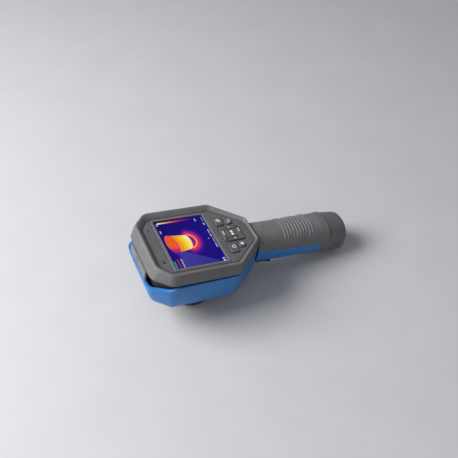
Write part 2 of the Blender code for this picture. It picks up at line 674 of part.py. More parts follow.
# ---------------------------------------------------------------- assembly

def stand_on_origin():
    """Move the assembly so that the middle of its base is at the world's origin."""
    bpy.context.view_layer.update()
    depsgraph = bpy.context.evaluated_depsgraph_get()
    points = []
    for made in PARTS.objects:
        if made.type == "EMPTY":
            continue
        seen = made.evaluated_get(depsgraph)
        mesh = seen.to_mesh()
        points += [seen.matrix_world @ vertex.co for vertex in mesh.vertices]
        seen.to_mesh_clear()
    low = Vector([min(p[i] for p in points) for i in range(3)])
    high = Vector([max(p[i] for p in points) for i in range(3)])
    DEVICE.location = (-(low.x + high.x) / 2.0, -(low.y + high.y) / 2.0, -low.z)


def main():
    rear_housing()
    face_panel()
    screen()
    keypad()
    middle_frame()
    connectors()
    electronics()
    front_shell()
    front_plate()
    lens()
    windows()
    handle()
    trigger()
    battery()
    stand_on_origin()


main()
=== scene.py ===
"""Looks of the handheld thermal imaging camera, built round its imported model.

Every piece is drawn in the camera's own frame, in millimetres: X runs from the top of the head to
the end of the handle, Y across the screen, and Z out of the screen, with the screen glass at zero.
That frame is worked out from the model's joints, so it follows the model wherever it rests.
"""

import json
import math

import bmesh
import bpy
from mathutils import Matrix, Vector


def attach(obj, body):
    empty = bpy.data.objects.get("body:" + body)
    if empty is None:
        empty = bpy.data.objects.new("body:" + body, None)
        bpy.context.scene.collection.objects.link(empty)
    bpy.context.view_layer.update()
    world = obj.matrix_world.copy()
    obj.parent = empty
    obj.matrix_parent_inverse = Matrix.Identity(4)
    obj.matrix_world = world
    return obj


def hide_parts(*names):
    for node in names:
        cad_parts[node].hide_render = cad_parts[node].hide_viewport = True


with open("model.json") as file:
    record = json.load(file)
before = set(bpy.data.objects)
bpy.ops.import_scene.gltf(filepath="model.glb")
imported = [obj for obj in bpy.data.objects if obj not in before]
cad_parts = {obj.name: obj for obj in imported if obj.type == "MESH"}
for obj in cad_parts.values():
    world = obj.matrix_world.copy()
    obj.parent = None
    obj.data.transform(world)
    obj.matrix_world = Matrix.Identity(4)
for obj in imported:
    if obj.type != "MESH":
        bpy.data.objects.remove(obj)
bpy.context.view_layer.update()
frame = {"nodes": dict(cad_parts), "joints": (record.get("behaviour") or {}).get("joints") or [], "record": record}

MM = 0.001
SHARP_ANGLE = 32.0

# Head, as the model has it: one half of each outline, corners (x, y) from the top end to the handle
PANEL_EDGE = [(-41.4, 26.5), (-31.6, 39.9), (36.8, 40.1), (67.0, 14.0)]
CREST = [(-46.3, 32.0), (-33.6, 46.3), (37.2, 46.2), (68.8, 16.3)]
SHOULDER = [(-47.5, 32.3), (-33.7, 47.5), (37.2, 47.4), (70.0, 17.0)]
WALL_TOP = [(-49.6, 32.6), (-33.8, 48.2), (37.0, 48.1), (71.1, 17.7)]
WALL_FOOT = [(-51.8, 32.8), (-33.8, 48.5), (36.9, 48.4), (71.5, 17.9)]
SHELL_CORE = [(-46.1, 27.2), (-30.6, 40.4), (33.6, 40.4), (63.4, 14.2)]
CORNER_SIZES = (12.0, 11.0, 7.0, 7.0)
CORNER_STEPS = 12
PANEL_TOP, PANEL_BASE = 0.8, -1.7
SEAM_TOP, SEAM_BASE, COVER_BASE = -9.5, -11.8, -20.6
GLASS_X, GLASS_Y = 53.4, 71.2
BEZEL_X, BEZEL_Y = 60.0, 76.4
KEY_TOP = 2.1

# Lens
LENS_X, LENS_FRONT, FOCUS_Z = 6.0, -70.0, -59.0

# Handle: (x, half width, half height, height of the middle)
HANDLE = [(72.0, 19.3, 19.4, -16.8), (85.0, 19.6, 19.5, -17.3), (100.0, 19.8, 19.5, -17.8),
          (130.0, 20.2, 19.6, -18.0), (150.0, 20.4, 19.8, -18.4)]
COLLAR = [(150.4, 20.5, 19.9, -18.4), (154.0, 21.0, 20.2, -18.6), (157.6, 21.6, 20.5, -18.8),
          (158.6, 21.2, 20.2, -18.8)]
CAP = [(159.2, 20.3, 19.9, -19.0), (168.0, 20.0, 19.8, -19.8), (176.0, 19.8, 19.8, -20.8),
       (179.0, 19.5, 19.6, -21.3), (180.6, 18.9, 19.0, -21.5), (181.4, 17.4, 17.6, -21.5)]
HANDLE_WALL, HANDLE_POWER = 2.4, 2.4
SPLIT_X, SPLIT_Z, SPLIT_SLOPE = 72.0, -13.6, -0.064

# Ribs on the grip
RIB_FIRST, RIB_PITCH, RIB_HEIGHT, RIB_WIDTH = 104.0, 3.8, 0.75, 0.55
RIB_LONG = (True, True, False, False, True, True, False, False, True, True)

# ---- the camera's own frame

JOINTS = {joint["name"]: joint for joint in frame["joints"]}
ALONG = Vector(JOINTS["battery_slide"]["axis"])
OUT = Vector(JOINTS["focus_turn"]["axis"])
ACROSS = OUT.cross(ALONG)
ORIGIN = Vector(JOINTS["focus_turn"]["pos_m"]) - ALONG * LENS_X * MM - OUT * FOCUS_Z * MM
TURN = Matrix((ALONG, ACROSS, OUT)).transposed().to_4x4()
DEVICE = Matrix.Translation(ORIGIN) @ TURN @ Matrix.Scale(MM, 4)
TO_DEVICE = DEVICE.inverted()

# Planes that plates are drawn in: drawn x and y become X and Y, or X and Z
FACE = Matrix.Identity(4)
SIDE = Matrix.Rotation(math.pi / 2.0, 4, "X")


def span(node):
    """Lowest and highest corner of a model node, in the camera's own frame."""
    points = [TO_DEVICE @ vertex.co for vertex in frame["nodes"][node].data.vertices]
    low = Vector([min(point[axis] for point in points) for axis in range(3)])
    high = Vector([max(point[axis] for point in points) for axis in range(3)])
    return low, high


def middle(node):
    low, high = span(node)
    return (low + high) / 2.0


def center_of(low, high):
    return (low.x + high.x) / 2.0, (low.y + high.y) / 2.0


def link(name, data):
    """A new object in the scene."""
    made = bpy.data.objects.new(name, data)
    bpy.context.scene.collection.objects.link(made)
    return made


def to_mesh(bm, name="part"):
    mesh = bpy.data.meshes.new(name)
    bm.to_mesh(mesh)
    bm.free()
    return mesh


def from_mesh(mesh, bm):
    """Add a mesh's faces to a bmesh, and remove the mesh."""
    bm.from_mesh(mesh)
    bpy.data.meshes.remove(mesh)
    return bm


def evaluated(made):
    """A bmesh of an object with its modifiers or its curve's bevel applied."""
    bpy.context.view_layer.update()
    seen = made.evaluated_get(bpy.context.evaluated_depsgraph_get())
    return from_mesh(bpy.data.meshes.new_from_object(seen), bmesh.new())


# ---- shader helpers

def fill(node, values):
    """Set a node's inputs, by name or number. A field or a socket is linked to its input."""
    for name, value in values.items():
        value = getattr(value, "socket", value)
        if isinstance(value, bpy.types.NodeSocket):
            node.id_data.links.new(value, node.inputs[name])
        else:
            node.inputs[name].default_value = value


class Field:
    """A number that varies over a surface, kept as a socket and combined by Math nodes."""

    def __init__(self, socket):
        self.socket = socket
        self.nodes = socket.id_data.nodes

    def math(self, operation, *others):
        node = self.nodes.new("ShaderNodeMath")
        node.operation = operation
        fill(node, dict(enumerate((self,) + others)))
        return Field(node.outputs[0])

    def __add__(self, other):
        return self.math("ADD", other)

    def __sub__(self, other):
        return self.math("SUBTRACT", other)

    def __mul__(self, other):
        return self.math("MULTIPLY", other)

    def __truediv__(self, other):
        return self.math("DIVIDE", other)

    def ramp(self, start, end):
        """0 at start and beyond, 1 at end and beyond, smooth between."""
        node = self.nodes.new("ShaderNodeMapRange")
        node.interpolation_type = "SMOOTHSTEP"
        fill(node, {"Value": self, "From Min": start, "From Max": end})
        return Field(node.outputs["Result"])


def distance(x, y, center_x, center_y, radius_x, radius_y):
    """1 on an ellipse, less inside it and more outside."""
    across = (x - center_x) / radius_x
    down = (y - center_y) / radius_y
    return (across * across + down * down).math("SQRT")


def band(value, low, high, soft):
    """1 between two values, falling to 0 over a soft edge."""
    return value.ramp(low - soft, low + soft) * value.ramp(high + soft, high - soft)


def start_material(name):
    made = bpy.data.materials.new(name)
    made.use_nodes = True
    tree = made.node_tree
    return made, tree, tree.nodes["Principled BSDF"]


def device_fields(tree):
    """x, y and z in the camera's own frame, in millimetres."""
    moved = tree.nodes.new("ShaderNodeVectorMath")
    moved.operation = "SUBTRACT"
    fill(moved, {0: tree.nodes.new("ShaderNodeTexCoord").outputs["Object"], 1: ORIGIN})
    fields = []
    for axis in (ALONG, ACROSS, OUT):
        dot = tree.nodes.new("ShaderNodeVectorMath")
        dot.operation = "DOT_PRODUCT"
        fill(dot, {0: moved.outputs[0], 1: axis / MM})
        fields.append(Field(dot.outputs["Value"]))
    return fields


def noise(tree, size, detail=3.0, roughness=0.55):
    """A noise whose spots are about size millimetres across."""
    node = tree.nodes.new("ShaderNodeTexNoise")
    fill(node, {"Vector": tree.nodes.new("ShaderNodeTexCoord").outputs["Object"],
                "Scale": 1.0 / (size * MM), "Detail": detail, "Roughness": roughness})
    return Field(node.outputs["Fac"])


def mix_colors(factor, low, high):
    """A colour between two, each a colour or a socket."""
    node = factor.nodes.new("ShaderNodeMix")
    node.data_type = "RGBA"
    # inputs 6 and 7 and output 2 are the node's colours
    fill(node, {"Factor": factor, 6: with_alpha(low), 7: with_alpha(high)})
    return node.outputs[2]


def with_alpha(color):
    return (*color, 1.0) if isinstance(color, tuple) else color


def bump(shader, layers):
    """Chained bumps. Each layer is (height field, strength, depth in millimetres)."""
    before = None
    for height, strength, depth in layers:
        node = height.nodes.new("ShaderNodeBump")
        fill(node, {"Height": height, "Strength": strength, "Distance": depth * MM})
        if before:
            fill(node, {"Normal": before})
        before = node.outputs["Normal"]
    fill(shader, {"Normal": before})


def shade_of(color, factor):
    return tuple(min(1.0, channel * factor) for channel in color)


def moulded(name, color, roughness, grain=0.45, depth=0.02, wear=0.35, coat=0.0, sheen=0.0):
    """Moulded plastic or rubber: fine grain, slow colour drift, and rubbed lighter edges."""
    made, tree, shader = start_material(name)
    drift = noise(tree, 14.0, 4.0)
    cloth = noise(tree, 2.2, 5.0, 0.7)
    body = mix_colors(drift.ramp(0.3, 0.7), shade_of(color, 0.9), shade_of(color, 1.08))
    body = mix_colors(cloth.ramp(0.35, 0.75) * 0.25, body, shade_of(color, 1.25))
    edge = Field(tree.nodes.new("ShaderNodeNewGeometry").outputs["Pointiness"])
    rubbed = edge.ramp(0.52, 0.62) * noise(tree, 3.0).ramp(0.35, 0.6) * wear
    body = mix_colors(rubbed, body, shade_of(color, 2.2))
    dull = cloth.ramp(0.2, 0.8) * 0.14 + (roughness - 0.07)
    fill(shader, {"Base Color": body, "Roughness": dull, "Coat Weight": coat,
                  "Coat Roughness": 0.18, "Sheen Weight": sheen, "Sheen Roughness": 0.5})
    bump(shader, [(noise(tree, grain, 2.0), 0.6, depth), (drift, 0.25, 0.05)])
    return made


def metal(name, color, roughness):
    """Turned or rolled metal with fine lines and a light stain."""
    made, tree, shader = start_material(name)
    lines = noise(tree, 0.35, 4.0, 0.6)
    stain = noise(tree, 5.0)
    body = mix_colors(stain.ramp(0.3, 0.75), shade_of(color, 0.86), color)
    fill(shader, {"Base Color": body, "Metallic": 1.0,
                  "Roughness": lines * 0.2 + (roughness - 0.1)})
    bump(shader, [(lines, 0.35, 0.01)])
    return made


def board():
    """Solder mask over copper traces that run along and across the board."""
    made, tree, shader = start_material("circuit board")
    x, y, _ = device_fields(tree)
    waves = noise(tree, 9.0, 1.0) * 3.0
    across = (x * 1.3 + waves).math("FRACT")
    along = (y * 1.1 + waves).math("FRACT")
    chosen = noise(tree, 12.0, 0.0).ramp(0.49, 0.51)
    traces = band(across, 0.35, 0.55, 0.05) * chosen
    traces = traces.math("MAXIMUM", band(along, 0.4, 0.6, 0.05) * (chosen * -1.0 + 1.0))
    body = mix_colors(traces, (0.012, 0.075, 0.03), (0.03, 0.16, 0.07))
    fill(shader, {"Base Color": body, "Roughness": 0.35, "Coat Weight": 0.4})
    bump(shader, [(traces, 0.5, 0.04)])
    return made


def coated_glass(name, color, tint, metallic):
    """Polished optics with a tinted coating."""
    made, tree, shader = start_material(name)
    smear = noise(tree, 6.0, 4.0).ramp(0.4, 0.8) * 0.06 + 0.06
    fill(shader, {"Base Color": (*color, 1.0), "Specular Tint": (*tint, 1.0), "Roughness": smear,
                  "Metallic": metallic, "Coat Weight": 1.0, "Coat Roughness": 0.03})
    return made


def palette(heat):
    """The false colours of a heat picture, from cold navy to white hot."""
    node = heat.nodes.new("ShaderNodeValToRGB")
    stops = [(0.0, (0.005, 0.001, 0.13)), (0.14, (0.009, 0.002, 0.2)), (0.28, (0.07, 0.003, 0.24)),
             (0.42, (0.3, 0.006, 0.26)), (0.54, (0.6, 0.02, 0.12)), (0.66, (0.78, 0.1, 0.012)),
             (0.78, (0.86, 0.34, 0.008)), (0.9, (0.87, 0.63, 0.04)), (1.0, (0.97, 0.92, 0.5))]
    ramp = node.color_ramp
    while len(ramp.elements) < len(stops):
        ramp.elements.new(0.5)
    for element, (place, color) in zip(ramp.elements, stops):
        element.position = place
        element.color = (*color, 1.0)
    fill(node, {"Fac": heat})
    return node.outputs["Color"]


def heat_picture(tree, right, down):
    """A warm cup on a table, as heat from 0 to 1. right and down are millimetres on the screen."""
    # the cup's body narrows downwards and gets hotter
    fall = (down + 14.0) / 15.0
    half = fall * -2.2 + 12.4
    side = (right + 0.5).math("ABSOLUTE")
    low_edge = distance(right, down, -0.4, -2.6, 10.3, 4.4)
    inside = (side - half).ramp(0.3, -0.3) * (down + 18.0).ramp(-0.3, 0.3)
    bottom = (down + 2.6).ramp(0.4, -0.4).math("MAXIMUM", low_edge.ramp(1.04, 0.98))
    body = inside * bottom
    body_heat = fall.ramp(-0.1, 0.95) * 0.24 + 0.7 + (right / 12.0).ramp(-0.2, 0.9) * 0.04
    # the opening: an oval, cooler at its left
    mouth = distance(right, down + right * 0.1, -0.5, -18.9, 14.0, 5.4)
    mouth_in = mouth.ramp(1.03, 0.97)
    mouth_heat = (right + down * 0.3).ramp(-18.5, -8.5) * 0.22 + 0.44
    lip = band(mouth, 0.93, 1.03, 0.03) * (down + 19.0).ramp(0.0, 3.0)
    # its reflection in the table: a bright arc in a glow
    ring = distance(right, down, 0.3, -1.4, 10.6, 8.8)
    arc = band(ring, 0.85, 1.04, 0.06) * (down + 1.0).ramp(-0.8, 0.8)
    glow = ring.ramp(2.1, 0.9) * (down + 3.0).ramp(-5.0, 3.0) * 0.52
    gap = ring.ramp(0.92, 0.8) * 0.2
    far_halo = distance(right, down, 0.0, -10.0, 21.0, 19.0).ramp(1.15, 0.55) * 0.1
    cold = noise(tree, 9.0, 2.0) * 0.06 + (right / 30.0 - down / 30.0).ramp(1.4, -0.9) * 0.09
    heat = cold + (glow - gap).math("MAXIMUM", far_halo)
    heat = heat.math("MAXIMUM", arc * 0.84)
    heat = heat * (body * -1.0 + 1.0) + body * body_heat
    heat = heat * (mouth_in * -1.0 + 1.0) + mouth_in * mouth_heat
    return heat - lip * 0.24


def dashes(x, y, left, top, count, pitch, size_x, size_y):
    """A row of small bars, in place of lettering."""
    start = (x - left) / pitch
    inside = band(start, 0.02, count - 0.02, 0.02)
    bar = band(start.math("FRACT"), 0.1, size_x / pitch, 0.05)
    return inside * bar * band(y, top, top + size_y, 0.08)


# rows of marks on the screen: left end, top, count, pitch, width and height of a mark
MARKS = [(-14.5, 24.2, 3, 2.1, 1.5, 1.3), (-7.0, 24.6, 4, 1.7, 1.2, 0.9),
         (1.2, 24.2, 2, 2.6, 1.9, 1.3), (7.5, 24.2, 3, 1.9, 1.3, 1.3),
         (-35.2, 23.0, 2, 3.0, 1.8, 2.6), (20.5, 23.6, 2, 1.8, 1.2, 1.6),
         (26.5, 24.6, 4, 1.7, 0.9, 0.7), (28.0, 16.6, 3, 1.5, 0.9, 1.5),
         (17.0, -24.8, 3, 1.5, 1.0, 1.3), (29.0, -25.0, 2, 1.7, 1.2, 1.6),
         (-1.0, 20.0, 1, 1.6, 1.2, 1.1)]
# coloured rows: top, count and colour
COLORED_MARKS = [(-26.2, 6, (0.02, 0.5, 0.2)), (-22.4, 7, (0.6, 0.02, 0.05)),
                 (-18.6, 7, (0.35, 0.6, 0.5))]


def screen_material():
    """The lit screen: a heat picture with a colour scale and rows of generic marks."""
    made, tree, shader = start_material("lit screen")
    down, right, _ = device_fields(tree)
    heat = heat_picture(tree, right, down)
    picture = palette(heat)
    # the table top shows as a paler wedge on the left
    edge = right + down * 0.7 + 19.7
    wedge = edge.ramp(0.8, -0.8) * heat.ramp(0.34, 0.2) * (down + 17.0).ramp(-3.0, 3.0)
    fade = (down / 27.0).ramp(-1.1, 0.9) * -0.5 + 1.0
    picture = mix_colors(wedge * fade, picture, (0.055, 0.04, 0.3))
    # the colour scale at the right
    scale = band(right, 31.6, 33.4, 0.12) * band(down, -23.5, 16.5, 0.15)
    scale_color = palette((down + 23.0) / -46.0 + 1.02)
    picture = mix_colors(scale, picture, scale_color)
    white = dashes(right, down, *MARKS[0])
    for row in MARKS[1:]:
        white = white.math("MAXIMUM", dashes(right, down, *row))
    picture = mix_colors(white * 0.75, picture, (0.85, 0.88, 1.0))
    for top, count, color in COLORED_MARKS:
        line = dashes(right, down, -34.6, top, count, 1.8, 1.3, 1.8)
        picture = mix_colors(line * 0.8, picture, color)
    fill(shader, {"Base Color": (0.002, 0.002, 0.003, 1.0), "Roughness": 0.25,
                  "Specular IOR Level": 0.04, "Emission Color": picture, "Emission Strength": 1.0,
                  "Coat Weight": 0.03, "Coat Roughness": 0.1})
    return made


def plain_print():
    """The white legend paint on the keys."""
    made, tree, shader = start_material("legend paint")
    worn = noise(tree, 1.2, 4.0)
    color = mix_colors(worn.ramp(0.3, 0.6), (0.62, 0.63, 0.65), (0.82, 0.83, 0.85))
    fill(shader, {"Base Color": color, "Roughness": 0.5})
    return made


LOOKS = {
    "housing_grey": moulded("grey housing", (0.105, 0.104, 0.108), 0.5, wear=0.3),
    "panel_grey": moulded("grey panel", (0.088, 0.087, 0.09), 0.56, wear=0.2),
    "bezel_grey": moulded("grey bezel", (0.12, 0.119, 0.122), 0.5, wear=0.2),
    "shell_blue": moulded("blue shell", (0.012, 0.145, 0.42), 0.42, wear=0.12, coat=0.06),
    "frame_black": moulded("black frame", (0.018, 0.018, 0.019), 0.5, wear=0.3),
    "key_rubber": moulded("key rubber", (0.072, 0.071, 0.075), 0.62, grain=0.3, wear=0.25,
                          sheen=0.05),
    "grip_rubber": moulded("grip rubber", (0.118, 0.117, 0.122), 0.66, grain=0.6, depth=0.03,
                           sheen=0.08),
    "screen": screen_material(),
    "board_green": board(),
    "metal": metal("sheet metal", (0.62, 0.62, 0.64), 0.34),
    "brass": metal("gilt contacts", (0.78, 0.56, 0.24), 0.32),
    "germanium": coated_glass("coated germanium", (0.075, 0.05, 0.105), (0.62, 0.45, 0.75), 0.85),
    "window": coated_glass("window glass", (0.015, 0.02, 0.028), (0.55, 0.75, 0.95), 0.2),
    "legend": plain_print(),
}


# ---- outlines, all in millimetres

def rounded(corners, radius, steps):
    """A closed outline with each corner turned into an arc. A corner may carry its own radius."""
    points = []
    for i, corner in enumerate(corners):
        here = Vector(corner[:2])
        size = corner[2] if len(corner) > 2 else radius
        back = Vector(corners[i - 1][:2]) - here
        ahead = Vector(corners[(i + 1) % len(corners)][:2]) - here
        room = 0.49 * min(back.length, ahead.length)
        back.normalize()
        ahead.normalize()
        half = 0.5 * back.angle(ahead)
        run = min(size / math.tan(half), room)
        arc = run * math.tan(half)
        center = here + (back + ahead).normalized() * (arc / math.sin(half))
        start = here + back * run - center
        sweep = math.pi - 2.0 * half
        if back.cross(ahead) > 0.0:
            sweep = -sweep
        for step in range(steps + 1):
            points.append(tuple(center + Matrix.Rotation(sweep * step / steps, 2) @ start))
    return points


def grown(corners, by):
    """The corners of a counter-clockwise outline, moved outwards by one distance."""
    moved = []
    for i, corner in enumerate(corners):
        here = Vector(corner)
        back = (here - Vector(corners[i - 1])).normalized()
        ahead = (Vector(corners[(i + 1) % len(corners)]) - here).normalized()
        normals = (Vector((back.y, -back.x)), Vector((ahead.y, -ahead.x)))
        between = (normals[0] + normals[1]).normalized()
        moved.append(tuple(here + between * (by / between.dot(normals[0]))))
    return moved


def whole(half):
    """A full outline from one half of it, counter-clockwise."""
    return [(x, -y) for x, y in half] + [(x, y) for x, y in reversed(half)]


def head_outline(half, inset):
    """An outline of the head from one of its halves, drawn in by an inset."""
    sizes = [max(size - inset, 1.0) for size in CORNER_SIZES + CORNER_SIZES[::-1]]
    corners = grown(whole(half), -inset)
    corners = [(x, y, size) for (x, y), size in zip(corners, sizes)]
    return rounded(corners, 1.0, CORNER_STEPS)


def part_way(start, end, part):
    """The half outline between two others."""
    return [(a + (c - a) * part, b + (d - b) * part) for (a, b), (c, d) in zip(start, end)]


def shell_outline(by, squeeze, tip):
    """The front shell's outline, grown from its core, as the model has it."""
    stretch = tip / (SHELL_CORE[3][0] + by)
    end = 1.0 - 0.12 * squeeze
    side = 1.0 - 0.10 * squeeze
    outline = rounded(grown(whole(SHELL_CORE), by), 4.0 + max(by, 0.0), CORNER_STEPS)
    return [(x * (end if x < 0.0 else stretch), y * side) for x, y in outline]


def box_outline(size_x, size_y, radius, center=(0.0, 0.0), steps=8):
    signs = ((-1, -1), (1, -1), (1, 1), (-1, 1))
    corners = [(center[0] + i * size_x / 2.0, center[1] + j * size_y / 2.0) for i, j in signs]
    return rounded(corners, radius, steps)


def circle(radius, center, steps=48):
    turns = (2.0 * math.pi * step / steps for step in range(steps))
    return [(center[0] + radius * math.cos(turn), center[1] + radius * math.sin(turn))
            for turn in turns]


def between(stations, x):
    """The handle's (half width, half height, middle) at x, on a smooth line through stations."""
    for i in range(len(stations) - 1):
        if x <= stations[i + 1][0] or i == len(stations) - 2:
            break
    near, far = stations[i], stations[i + 1]
    part = min(max((x - near[0]) / (far[0] - near[0]), 0.0), 1.0)
    return [near[k] + (far[k] - near[k]) * part for k in (1, 2, 3)]


def smooth_line(points, per):
    """Points on a smooth curve through the given ones, per to each stretch."""
    made = []
    for i in range(len(points) - 1):
        before = points[max(i - 1, 0)]
        here, beyond = points[i], points[i + 1]
        after = points[min(i + 2, len(points) - 1)]
        for step in range(per):
            t = step / per
            made.append(tuple(
                0.5 * (2.0 * b + (c - a) * t + (2.0 * a - 5.0 * b + 4.0 * c - d) * t * t
                       + (3.0 * b - a - 3.0 * c + d) * t ** 3)
                for a, b, c, d in zip(before, here, beyond, after)))
    made.append(tuple(points[-1]))
    return made


def stretch_of(start, end, step):
    """Evenly spaced places from start up to, but without, end."""
    count = max(1, round((end - start) / step))
    return [start + (end - start) * index / count for index in range(count)]


# ---- making pieces

def keep(name, bm, slot, *stands_for, body="camera", look=None):
    """Turn a mesh drawn in millimetres into a piece that rides on a body."""
    bmesh.ops.remove_doubles(bm, verts=bm.verts, dist=1e-4)
    bmesh.ops.recalc_face_normals(bm, faces=bm.faces)
    mesh = to_mesh(bm, name)
    mesh.transform(DEVICE)
    mesh.shade_smooth()
    mesh.set_sharp_from_angle(angle=math.radians(SHARP_ANGLE))
    mesh.materials.append(LOOKS[look or slot])
    made = link(name, mesh)
    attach(made, body)
    if stands_for:
        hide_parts(*stands_for)


def loft(rings, tube=False):
    """A closed mesh over rings of equal length; a tube joins its last ring to its first."""
    bm = bmesh.new()
    rows = [[bm.verts.new(point) for point in ring] for ring in rings]
    count = len(rings[0])
    for i in range(len(rows) if tube else len(rows) - 1):
        here, beyond = rows[i], rows[(i + 1) % len(rows)]
        for j in range(count):
            k = (j + 1) % count
            bm.faces.new((here[j], here[k], beyond[k], beyond[j]))
    if not tube:
        bm.faces.new(rows[0])
        bm.faces.new(rows[-1])
    return bm


def plate(outlines, low, high, bevel=0.0, plane=FACE, segments=3):
    """A plate with rounded edges: the first outline less the others."""
    curve = bpy.data.curves.new("drawing", "CURVE")
    curve.dimensions = "2D"
    curve.fill_mode = "BOTH"
    curve.extrude = 0.5 * (high - low) - bevel
    curve.bevel_depth = bevel
    curve.bevel_resolution = segments
    curve.offset = -bevel
    for index, outline in enumerate(outlines):
        points = outline if index == 0 else outline[::-1]
        spline = curve.splines.new("POLY")
        spline.points.add(len(points) - 1)
        for point, (x, y) in zip(spline.points, points):
            point.co = (x, y, 0.0, 1.0)
        spline.use_cyclic_u = True
    drawn = link("drawing", curve)
    bm = evaluated(drawn)
    bpy.data.objects.remove(drawn)
    bpy.data.curves.remove(curve)
    lift = Matrix.Translation((0.0, 0.0, 0.5 * (low + high)))
    bmesh.ops.transform(bm, matrix=plane @ lift, verts=bm.verts)
    bmesh.ops.remove_doubles(bm, verts=bm.verts, dist=1e-4)
    return bm


def turned(profile, center, steps=64):
    """A solid of revolution about Z. The profile is closed, or starts and ends on the axis."""
    bm = bmesh.new()
    closed = profile[0][0] > 0.0
    rows = [[bm.verts.new((x, y, z)) for x, y in circle(radius, center, steps if radius else 1)]
            for radius, z in profile]
    for i in range(len(rows) if closed else len(rows) - 1):
        here, beyond = rows[i], rows[(i + 1) % len(rows)]
        for j in range(steps):
            k = (j + 1) % steps
            corners = [here[j % len(here)], here[k % len(here)],
                       beyond[k % len(beyond)], beyond[j % len(beyond)]]
            # beside a point on the axis, two of the four corners are the same
            bm.faces.new(list(dict.fromkeys(corners)))
    return bm


def join(target, *others):
    """Add the faces of other meshes to one, as separate shells of the same piece."""
    for other in others:
        from_mesh(to_mesh(other), target)
    return target


def carve(bm, *tools):
    """Cut tools out of a mesh with Boolean modifiers."""
    helpers = []
    for source in (bm,) + tools:
        bmesh.ops.recalc_face_normals(source, faces=source.faces)
        helpers.append(link("carve", to_mesh(source)))
    for helper in helpers[1:]:
        step = helpers[0].modifiers.new("cut", "BOOLEAN")
        step.operation = "DIFFERENCE"
        step.solver = "EXACT"
        step.object = helper
    result = evaluated(helpers[0])
    for mesh in [helper.data for helper in helpers]:
        bpy.data.meshes.remove(mesh)
    return result


def soft_box(low, high, radius=0.0, segments=3):
    """A box with rounded edges."""
    low, high = Vector(low), Vector(high)
    bm = bmesh.new()
    bmesh.ops.create_cube(bm, size=1.0)
    bmesh.ops.scale(bm, vec=high - low, verts=bm.verts)
    bmesh.ops.translate(bm, vec=(low + high) / 2.0, verts=bm.verts)
    if radius:
        bmesh.ops.bevel(bm, geom=bm.edges, offset=radius, segments=segments, profile=0.5,
                        affect="EDGES")
    return bm


def cutter(low, high, by):
    """A box that clears another by a distance on each axis."""
    return soft_box(Vector(low) - Vector(by), Vector(high) + Vector(by))


# ---- the head

def rear_housing():
    """The grey rear cover: the rim rises from the panel in a broad slope, then rolls over."""
    stations = [(part_way(PANEL_EDGE, CREST, part), z)
                for part, z in ((0.07, 0.75), (0.35, 2.1), (0.7, 3.55), (1.0, 4.0))]
    stations += [(part_way(CREST, SHOULDER, 0.55), 3.85), (SHOULDER, 3.1),
                 (part_way(SHOULDER, WALL_TOP, 0.6), 1.2), (WALL_TOP, -1.6),
                 (part_way(WALL_TOP, WALL_FOOT, 0.95), SEAM_TOP + 0.5)]
    flat = [tuple(number for corner in half for number in corner) + (z,) for half, z in stations]
    rings = []

    def ring(half, z, inset=0.0):
        rings.append([(x, y, z) for x, y in head_outline(half, inset)])

    ring(PANEL_EDGE, -4.2, 2.6)
    ring(PANEL_EDGE, -2.0, 2.6)
    ring(PANEL_EDGE, -2.0, -0.4)
    ring(PANEL_EDGE, 0.55, -0.4)
    for *numbers, z in smooth_line(flat, 5):
        ring(list(zip(numbers[::2], numbers[1::2])), z)
    ring(WALL_FOOT, SEAM_TOP + 0.25, 0.05)
    ring(WALL_FOOT, SEAM_TOP, 0.3)
    ring(WALL_FOOT, SEAM_TOP, 2.5)
    ring(WALL_TOP, -4.2, 2.9)
    keep("rear_housing_skin", loft(rings, tube=True), "housing_grey", "rear_housing")


KEY_CORNERS = {"key_right_upper": 1.6, "key_left_upper": 1.6, "key_right_lower": 2.2,
               "key_left_lower": 2.2, "dpad_ring": 2.6}


def panel_openings():
    """Outlines of the openings in the face panel, from the pieces that stand in them."""
    openings = [box_outline(BEZEL_X + 0.7, BEZEL_Y + 0.7, 2.0)]
    for node, radius in KEY_CORNERS.items():
        low, high = span(node)
        size = high - low
        clear = 1.2 if node == "dpad_ring" else 0.9
        openings.append(box_outline(size.x + clear, size.y + clear, radius + 0.4,
                                    center_of(low, high)))
    sensor = middle("light_sensor")
    openings.append(circle(1.7, (sensor.x, sensor.y), 24))
    openings.append(box_outline(1.2, 3.6, 0.55, (sensor.x, -sensor.y), 4))
    return openings


def face_panel():
    """The sunken panel, with rounded edges round its outline and its openings."""
    made = plate([head_outline(PANEL_EDGE, 0.25)] + panel_openings(), PANEL_BASE, PANEL_TOP, 0.28)
    keep("face_panel_skin", made, "panel_grey", "face_panel")


def display():
    """The raised frame round the screen, and the lit glass."""
    raised = plate([box_outline(BEZEL_X, BEZEL_Y, 1.8),
                    box_outline(GLASS_X + 0.7, GLASS_Y + 0.7, 0.6, steps=4)],
                   PANEL_BASE, 1.1, 0.4)
    keep("bezel_frame", raised, "housing_grey", "display_bezel", look="bezel_grey")
    glass = plate([box_outline(GLASS_X, GLASS_Y, 0.4, steps=4)], -1.5, 0.0, 0.15)
    keep("lit_glass", glass, "screen", "display_glass")


def key_cap(name, corner, edge=0.8, steps=6):
    """A key with a rolled edge and a flat top, as wide as the model's."""
    low, high = span(name)
    size = high - low
    levels = [(0.0, low.z), (0.0, KEY_TOP - edge)]
    for step in range(1, steps + 1):
        turn = 0.5 * math.pi * step / steps
        levels.append((edge * (1.0 - math.cos(turn)), KEY_TOP - edge + edge * math.sin(turn)))
    half = min(size.x, size.y) / 2.0
    levels += [(edge + (half - edge) * part, KEY_TOP) for part in (0.3, 0.6, 0.85)]
    rings = []
    for inset, z in levels:
        ring = box_outline(size.x - 2.0 * inset, size.y - 2.0 * inset, max(corner - inset, 0.25),
                           center_of(low, high))
        rings.append([(x, y, z) for x, y in ring])
    keep(name + "_cap", loft(rings), "key_rubber", name, body=name)


